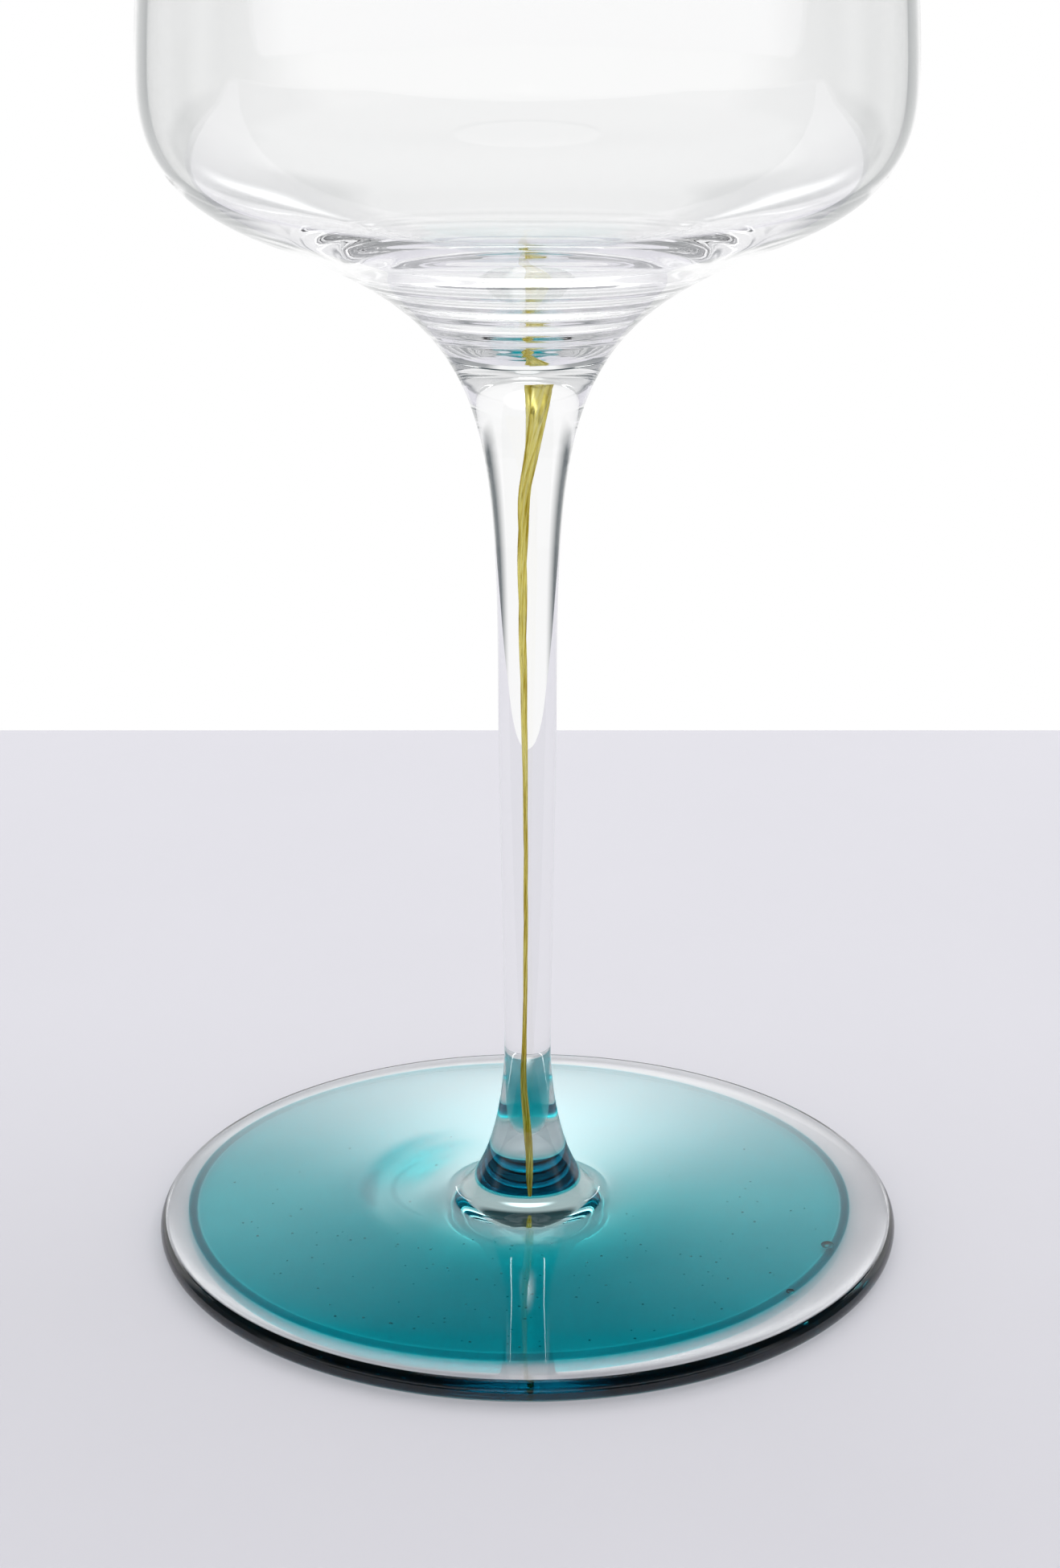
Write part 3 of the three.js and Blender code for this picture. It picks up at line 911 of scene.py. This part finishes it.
def hang_strip(scene, stage, side):
    """A narrow leaning strip of light behind the glass that shows in the foot's mirror image of the
    stem: its ends are directions from the glass, each a bearing and a rise, spread by its width."""
    material, tree = new_material("strip_%s" % ("left" if side < 0 else "right"))
    light = add(tree, "Emission", {"Color": (*WHITE, 1.0), "Strength": stage.strip})[0]
    path = add(tree, "LightPath")
    once = between(tree, path["Glossy Depth"], NO_TURN, ONE_TURN)
    few = maths(tree, "LESS_THAN", path["Transmission Depth"], ONE_WALL)
    through = add(tree, "BsdfTransparent")[0]
    shown = mixed(tree, product(tree, once, few), through, light)
    add(tree, "OutputMaterial", {"Surface": shown})
    ends = np.radians(np.repeat(STRIP_ENDS, 2, 0))
    spread = stage.strip_width / 2 * np.array([-1, 1, 1, -1])
    bearing, rise = side * (ends[:, 0] + spread), ends[:, 1]
    level, height = SHEET_DISTANCE * np.cos(rise), SHEET_DISTANCE * np.sin(rise)
    corners = np.stack([level * np.sin(bearing), level * np.cos(bearing), height], 1)
    hang_sheet(scene, material.name, corners, np.zeros((4, 2)), material)


def hang_sheet(scene, name, corners, patch, material):
    """A four-cornered sheet of light that only gloss and glass show."""
    mesh = bpy.data.meshes.new(name)
    mesh.from_pydata(corners.tolist(), [], [(0, 1, 2, 3)])
    mesh.uv_layers.new(name="patch").data.foreach_set("uv", patch.ravel())
    mesh.materials.append(material)
    sheet = bpy.data.objects.new(name, mesh)
    sheet.visible_camera = False
    sheet.visible_diffuse = False
    sheet.visible_shadow = False
    scene.collection.objects.link(sheet)


def paint_world(scene, stage):
    """White to the camera, and even light on matt surfaces. In glass and gloss it is white behind
    the glass, with dark places that depend on the bearing and rise of a direction and on how often
    the light crossed a glass face or was turned back by one."""
    world = bpy.data.worlds.new("studio")
    world.use_nodes = True
    tree = world.node_tree
    tree.nodes.clear()
    work, joint = functools.partial(maths, tree), functools.partial(product, tree)
    x, y, z = add(tree, "SeparateXYZ", {"Vector": add(tree, "TexCoord")["Generated"]})
    bearing = work("DIVIDE", work("ABSOLUTE", work("ARCTAN2", x, y)), math.pi)
    rise = work("ARCSINE", z)
    path = add(tree, "LightPath")
    crossed, turns = path["Transmission Depth"], path["Glossy Depth"]
    turned_back = work("MINIMUM", turns, 1.0)

    def without(*shares):
        """What a product of shares leaves of 1."""
        return work("SUBTRACT", 1.0, joint(*shares))

    def over(value, limit, width):
        """Rises softly from 0 to 1 as a value passes a limit."""
        start = work("SUBTRACT", limit, width / 2)
        passed = work("DIVIDE", work("SUBTRACT", value, start), width)
        return work("MINIMUM", 1.0, work("MAXIMUM", 0.0, passed))

    def around(stops):
        """A grey level that follows the bearing through a list of places and levels."""
        return tones(tree, bearing, [(place, (level, level, level)) for place, level in stops])

    # A low dark gap beside the backdrop, and dark wings in light that was turned back.
    low = without(over(rise, stage.gap_top, GAP_FADE))
    gap = joint(around(GAP_PLACES), low, between(tree, crossed, NO_FACE, ONE_WALL))
    low = without(over(rise, stage.wing_top, WING_FADE))
    wings = joint(around(WING_PLACES), low, turned_back, stage.wing_dark)
    shade = joint(work("MAXIMUM", gap, wings), 1.0 - stage.gap_level)
    levels = (1.0, stage.side_level, stage.side_level, stage.front_level)
    sides = around(list(zip(SIDE_PLACES, levels)))

    # The backdrop's top and the ceiling above it.
    in_foot = work("GREATER_THAN", crossed, FOOT_FACES)
    higher = joint(in_foot, stage.drop_top_foot - stage.drop_top)
    drop_top = work("ADD", stage.drop_top, higher)
    in_gloss = joint(turned_back, stage.ceiling_glass - stage.ceiling)
    lost = work("ADD", 1.0 - stage.ceiling_glass, in_gloss)
    kept = without(over(rise, drop_top, DROP_FADE), lost)

    # The dark flag in the foot's image of the stem.
    once = joint(turned_back, work("LESS_THAN", turns, ONE_TURN))
    in_stem = joint(once, path["Is Transmission Ray"], without(in_foot))
    flag_side = without(over(bearing, stage.flag_side / math.pi, FLAG_SIDE_FADE))
    flag_low = over(rise, stage.flag_low, FLAG_LOW_FADE)
    flag_rise = work("SUBTRACT", flag_low, over(rise, stage.flag_top, FLAG_TOP_FADE))
    unflagged = without(flag_side, flag_rise)
    shown = work("ADD", joint(in_stem, unflagged), joint(without(in_stem), kept))

    # Low light that was turned back in a thin wall, and the camera's side in a plain reflection.
    edge_start = over(bearing, stage.edge_side / math.pi, EDGE_SIDE_FADE)
    beyond = work("SUBTRACT", edge_start, over(bearing, EDGE_END, EDGE_END_FADE))
    down = without(over(rise, stage.edge_top, EDGE_TOP_FADE))
    in_wall = between(tree, crossed, NO_FACE, THIN_WALL)
    outlined = without(down, beyond, in_wall, turned_back, 1.0 - stage.edge_level)
    plain = joint(turned_back, work("LESS_THAN", crossed, NO_FACE))
    in_front = joint(over(bearing, FRONT_START, FRONT_FADE), over(rise, FRONT_LOW, FRONT_LOW_FADE))
    unlit = joint(plain, in_front, 1.0 - stage.front_gloss)
    lit = joint(shown, outlined, without(work("MAXIMUM", shade, unlit)))

    # Light that was turned round many times.
    deep = work("GREATER_THAN", work("ADD", crossed, turns), DEEP_FACES)
    many_faces = work("GREATER_THAN", crossed, DEEP_FACES)
    deepest = joint(many_faces, work("GREATER_THAN", turns, DEEP_TURNS))
    many = work("MAXIMUM", joint(deep, stage.deep_level), deepest)
    dimmed = without(in_foot, 1.0 - stage.inside_level)
    painted = work("MAXIMUM", joint(sides, lit, dimmed), many)
    toned = tones(tree, painted, [(0.0, stage.shade_tone), (1.0, WHITE)])
    strength = work("ADD", 1.0, joint(deepest, stage.deep_glow - 1.0))
    studio = add(tree, "Background", {"Color": toned, "Strength": strength})[0]

    in_glass = work("MAXIMUM", path["Is Glossy Ray"], path["Is Transmission Ray"])
    seen = joint(in_glass, without(work("MINIMUM", path["Diffuse Depth"], 1.0)))
    strength = work("ADD", stage.ambient, joint(in_glass, stage.under_glass - stage.ambient))
    even = add(tree, "Background", {"Color": (*WHITE, 1.0), "Strength": strength})[0]
    white = add(tree, "Background", {"Color": (*WHITE, 1.0), "Strength": 1.0})[0]
    whole = mixed(tree, path["Is Camera Ray"], mixed(tree, seen, even, studio), white)
    add(tree, "OutputWorld", {"Surface": whole})
    scene.world = world


def set_camera(scene, stage):
    """A camera in front of the glass that looks down a little."""
    lens = bpy.data.cameras.new("camera")
    lens.lens = stage.camera_lens
    lens.sensor_width = SENSOR_WIDTH
    lens.clip_start = 0.01
    lens.dof.use_dof = False
    camera = bpy.data.objects.new("camera", lens)
    camera.location = (stage.camera_across, -stage.camera_distance, stage.camera_height)
    camera.rotation_euler = (math.pi / 2 - stage.camera_tilt, 0.0, 0.0)
    scene.collection.objects.link(camera)
    scene.camera = camera


# Operators.


class GLASS_OT_foot(bpy.types.Operator):
    """Make the two clear layers of the foot"""

    bl_idname = "champagne_glass.foot"
    bl_label = "Clear foot"

    def execute(self, context):
        glass = context.scene.champagne_glass
        foot = glass.foot
        crown, cove = cove_profile(glass)
        split, seam, reach = foot.split_height, foot.seam_height, foot.edge_depth
        edge = (foot.radius - reach, split)
        upper = arc(edge, reach, foot.edge_thickness - split, 0.0, math.pi / 2, steps=16)
        spokes = np.linspace((0.0, split), upper[0], num=12)
        rise = below(cove, seam)
        top = np.vstack([spokes[:-1], upper, crown[1:], rise[1:], [(0.0, seam)]])
        vertices, quads, triangles = turned(top)
        vertices[:, 2] += swirl(vertices, foot)
        surface = vertices, quads, triangles
        clear_piece(glass, "foot_top_clear", surface, "foot_top", [split, seam])
        under = arc(edge, reach, split, -math.pi / 2, 0.0, steps=16)
        ring = np.linspace((foot.radius - reach - foot.rest_width, 0.0), under[0], num=9)
        middle, pull = np.array([0.0, foot.hollow_depth]), foot.radius / 3
        hollow = curve(middle, heading(0.0), pull, ring[0], heading(0.0), pull, steps=40)
        base = np.vstack([hollow[:-1], ring[:-1], under, spokes[::-1][1:]])
        clear_piece(glass, "foot_base_clear", turned(base), "foot_base", [split])
        return {"FINISHED"}


class GLASS_OT_stem(bpy.types.Operator):
    """Make the drawn stem"""

    bl_idname = "champagne_glass.stem"
    bl_label = "Stem"

    def execute(self, context):
        glass = context.scene.champagne_glass
        low, high = glass.foot.seam_height, glass.stem.seam_height
        cove = cove_profile(glass)[1]
        shaft, flare = stem_profile(glass)
        side = np.vstack([above(cove, low), shaft[1:], below(flare, high)[1:]])
        profile = np.vstack([[(0.0, low)], side, [(0.0, high)]])
        clear_piece(glass, "stem_clear", turned(profile), "stem", [low, high])
        return {"FINISHED"}


class GLASS_OT_bowl(bpy.types.Operator):
    """Make the blown bowl"""

    bl_idname = "champagne_glass.bowl"
    bl_label = "Bowl"

    def execute(self, context):
        glass = context.scene.champagne_glass
        seam = glass.stem.seam_height
        flare = stem_profile(glass)[1]
        profile = np.vstack([[(0.0, seam)], above(flare, seam), *bowl_profile(glass)])
        clear_piece(glass, "bowl_clear", turned(profile), "bowl", [seam])
        return {"FINISHED"}


class GLASS_OT_disc(bpy.types.Operator):
    """Make the teal disc inside the foot, the dark bead round it and the folds of colour"""

    bl_idname = "champagne_glass.disc"
    bl_label = "Teal disc"

    def execute(self, context):
        glass = context.scene.champagne_glass
        disc, finish = glass.disc, glass.finish
        body = [teal_glass(finish, "teal_body", finish.teal_density)]
        surface = teal_disc_surface(disc)
        new_piece("teal_disc_fused", surface, body, ["teal_disc"])
        dark = [teal_glass(finish, "teal_edge", finish.edge_density)]
        new_piece("teal_bead", bead_surface(disc), dark)
        for index, roll in enumerate(TEAL_FOLDS):
            surface = fold_surface(glass.foot, disc.fold_level, *roll)
            new_piece("teal_fold_%d" % (index + 1), surface, dark)
        return {"FINISHED"}


class GLASS_OT_thread(bpy.types.Operator):
    """Make the ochre thread inside the stem"""

    bl_idname = "champagne_glass.thread"
    bl_label = "Ochre thread"

    def execute(self, context):
        glass = context.scene.champagne_glass
        surface, along = thread_surface(glass.thread)
        body = [ochre_glass(glass.finish)]
        piece = new_piece("ochre_thread_drawn", surface, body, ["ochre_thread"])
        mesh = piece.data
        layer = mesh.uv_layers.new(name="along")
        owners = np.empty(len(mesh.loops), int)
        mesh.loops.foreach_get("vertex_index", owners)
        layer.data.foreach_set("uv", along[owners].ravel())
        return {"FINISHED"}


class GLASS_OT_seeds(bpy.types.Operator):
    """Make the tiny seeds and the two bubbles in the foot"""

    bl_idname = "champagne_glass.seeds"
    bl_label = "Seeds and bubbles"

    def execute(self, context):
        total = context.scene.champagne_glass.disc.seed_count
        air = [trapped_air()]
        generator = np.random.default_rng(7)
        reach = SEED_REACH * MM * np.sqrt(generator.uniform(SEED_INNER, 1.0, total))
        turn = generator.normal(-0.5 * math.pi, 1.0, total)
        level = generator.uniform(*SEED_LEVELS, total) * MM
        radii = generator.uniform(*SEED_RADII, total) * MM
        balls = spheres(polar(reach, turn, level), radii, rings=4, sides=7)
        new_piece("seeds", balls, air)
        places, sizes = BUBBLES[:, :3] * MM, BUBBLES[:, 3] * MM
        new_piece("bubbles", spheres(places, sizes, rings=12, sides=24), air)
        return {"FINISHED"}


class GLASS_OT_stage(bpy.types.Operator):
    """Make the table, the light and the camera"""

    bl_idname = "champagne_glass.stage"
    bl_label = "Table, light and camera"

    def execute(self, context):
        scene = context.scene
        glass = scene.champagne_glass
        stage = glass.stage
        scene.view_settings.view_transform = "Standard"
        scene.cycles.max_bounces = BOUNCES
        scene.cycles.transmission_bounces = BOUNCES
        scene.cycles.glossy_bounces = BOUNCES
        scene.cycles.transparent_max_bounces = CLEAR_BOUNCES
        lay_table(scene, glass)
        hang_panel(scene, stage.top_light)
        hang_glow(scene, stage)
        hang_strip(scene, stage, -1)
        hang_strip(scene, stage, 1)
        paint_world(scene, stage)
        set_camera(scene, stage)
        return {"FINISHED"}


class GLASS_PT_making(bpy.types.Panel):
    """Lists the pieces of the glass and their settings"""

    bl_idname = "GLASS_PT_making"
    bl_label = "Champagne glass"
    bl_space_type = "VIEW_3D"
    bl_region_type = "UI"
    bl_category = "Glass"

    def draw(self, context):
        glass = context.scene.champagne_glass
        for group in ("foot", "stem", "bowl", "disc", "thread", "finish", "stage"):
            box = self.layout.box()
            settings = getattr(glass, group)
            for name in settings.__annotations__:
                box.prop(settings, name)
        for operator in MAKING_ORDER:
            self.layout.operator(operator.bl_idname)


MAKING_ORDER = (
    GLASS_OT_foot,
    GLASS_OT_stem,
    GLASS_OT_bowl,
    GLASS_OT_disc,
    GLASS_OT_thread,
    GLASS_OT_seeds,
    GLASS_OT_stage,
)
CLASSES = (
    FootSizes, StemSizes, BowlSizes, DiscSizes, ThreadSizes, Finishes, StageSettings,
    ChampagneGlass, *MAKING_ORDER, GLASS_PT_making,
)


def register():
    """Adds the classes and the settings to Blender."""
    for cls in CLASSES:
        bpy.utils.register_class(cls)
    bpy.types.Scene.champagne_glass = bpy.props.PointerProperty(type=ChampagneGlass)


def unregister():
    """Takes the settings and the classes out again."""
    del bpy.types.Scene.champagne_glass
    for cls in reversed(CLASSES):
        bpy.utils.unregister_class(cls)


def make():
    """Runs the operators in order."""
    bpy.ops.champagne_glass.foot()
    bpy.ops.champagne_glass.stem()
    bpy.ops.champagne_glass.bowl()
    bpy.ops.champagne_glass.disc()
    bpy.ops.champagne_glass.thread()
    bpy.ops.champagne_glass.seeds()
    bpy.ops.champagne_glass.stage()


def main():
    """Builds the glass and its stage."""
    register()
    make()


if __name__ == "__main__":
    main()
